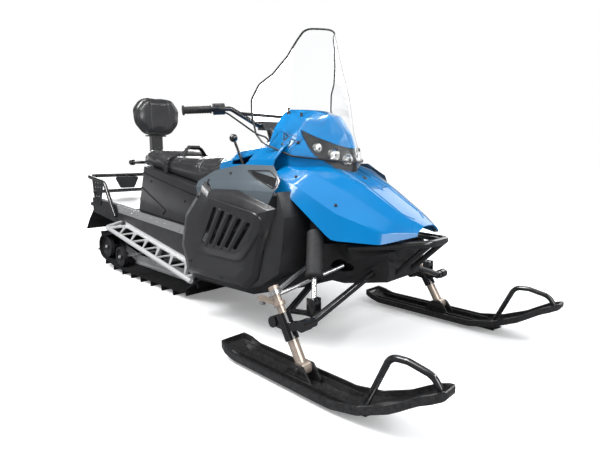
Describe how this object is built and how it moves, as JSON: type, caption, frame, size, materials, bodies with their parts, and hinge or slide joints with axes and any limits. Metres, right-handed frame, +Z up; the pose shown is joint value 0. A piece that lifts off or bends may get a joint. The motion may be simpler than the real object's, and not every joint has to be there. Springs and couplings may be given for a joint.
{
  "type": "utility snowmobile with a wide track, a cargo rack and a backrest",
  "caption": "Full-size two-seat utility snowmobile with steered skis, a wide rubber track, a clear windscreen, a cargo rack and a backrest.",
  "frame": {"origin": "on the ground under the middle of the machine's overall box", "axes": "+Z up, the front of the machine faces -Y, the rider's left is +X"},
  "size_m": [1.078, 2.9631, 1.3003],
  "materials": {
    "belt_rubber": "matt moulded rubber",
    "wheel_plastic": "satin black moulded wheel",
    "black_steel": "satin black powder coat",
    "black_plastic": "satin black moulding with fine grain",
    "grey_plastic": "dark grey moulding with fine grain",
    "aluminium": "bright brushed aluminium",
    "blue_gloss": "bright azure gloss paint",
    "clear_screen": "clear polycarbonate",
    "headlamp_lens": "clear lamp lens over dark housing",
    "red_lens": "red lamp lens",
    "seat_vinyl": "dark grey grained vinyl",
    "strap_webbing": "black woven webbing",
    "engine_cast": "cast housing",
    "bronze_steel": "light bronze metallic leg",
    "bright_steel": "bright plated steel",
    "shock_sleeve": "black fabric sleeve over a damper",
    "grip_rubber": "soft ribbed rubber",
    "cable_black": "black cable jacket",
    "ski_plastic": "tough black ski plastic"
  },
  "bodies": {
    "chassis": {"backrest_pad": "seat_vinyl", "belly_pan": "black_plastic", "cargo_deck": "aluminium", "cargo_rack": "black_steel", "console": "blue_gloss", "cowl": "blue_gloss", "drive_axle": "black_plastic", "engine_block": "engine_cast", "front_bumper": "black_steel", "front_frame": "black_steel", "front_seat": "seat_vinyl", "headlights": "headlamp_lens", "hood": "blue_gloss", "knuckles": "black_steel", "lower_arms": "black_steel", "rear_hitch": "black_steel", "rear_seat": "seat_vinyl", "running_boards": "aluminium", "seat_box": "grey_plastic", "seat_frame": "black_steel", "seat_strap": "strap_webbing", "shift_lever": "black_plastic", "shocks": "shock_sleeve", "side_fairings": "black_plastic", "side_panels": "grey_plastic", "slide_frame": "aluminium", "snow_flap": "belt_rubber", "steering_support": "black_steel", "tail_lamp": "red_lens", "track": "belt_rubber", "track_wheels": "wheel_plastic", "tunnel": "black_steel", "tunnel_side_strips": "aluminium", "upper_arms": "bright_steel", "upper_panels": "grey_plastic", "windscreen": "clear_screen"},
    "handlebar": {"steering_post": "black_steel", "handlebar_tube": "black_steel", "grips": "grip_rubber", "controls": "black_plastic", "control_cables": "cable_black"},
    "spindle_right_body": {"spindle_right": "bronze_steel"},
    "tie_rod_right_body": {"tie_rod_right": "bright_steel"},
    "ski_right_body": {"ski_right": "ski_plastic", "ski_loop_right": "ski_plastic"},
    "spindle_left_body": {"spindle_left": "bronze_steel"},
    "tie_rod_left_body": {"tie_rod_left": "bright_steel"},
    "ski_left_body": {"ski_left": "ski_plastic", "ski_loop_left": "ski_plastic"}
  },
  "joints": [
    {"name": "steering", "type": "hinge", "parent": "chassis", "child": "handlebar", "pos_m": [0, -0.266, 0.925], "axis": [0, 0.342, 0.9397], "range_deg": [-32, 32]},
    {"name": "ski_steer_right", "type": "hinge", "parent": "chassis", "child": "spindle_right_body", "pos_m": [-0.47, -0.956, 0.066], "axis": [0, 0.5, 0.866], "range_deg": [-24, 24]},
    {"name": "ski_pitch_right", "type": "hinge", "parent": "spindle_right_body", "child": "ski_right_body", "pos_m": [-0.47, -0.956, 0.066], "axis": [1, 0, 0], "range_deg": [-14, 14]},
    {"name": "tie_rod_slide_right", "type": "slide", "parent": "chassis", "child": "tie_rod_right_body", "axis": [1, 0, 0], "range_m": [-0.0349, 0.0349]},
    {"name": "ski_steer_left", "type": "hinge", "parent": "chassis", "child": "spindle_left_body", "pos_m": [0.47, -0.956, 0.066], "axis": [0, 0.5, 0.866], "range_deg": [-24, 24]},
    {"name": "ski_pitch_left", "type": "hinge", "parent": "spindle_left_body", "child": "ski_left_body", "pos_m": [0.47, -0.956, 0.066], "axis": [1, 0, 0], "range_deg": [-14, 14]},
    {"name": "tie_rod_slide_left", "type": "slide", "parent": "chassis", "child": "tie_rod_left_body", "axis": [1, 0, 0], "range_m": [-0.0349, 0.0349]}
  ],
  "couplings": [
    {"joint": "ski_steer_right", "follows": "steering", "ratio": 0.75},
    {"joint": "tie_rod_slide_right", "follows": "steering", "m_per_rad": -0.0616},
    {"joint": "ski_steer_left", "follows": "steering", "ratio": 0.75},
    {"joint": "tie_rod_slide_left", "follows": "steering", "m_per_rad": -0.0616}
  ]
}
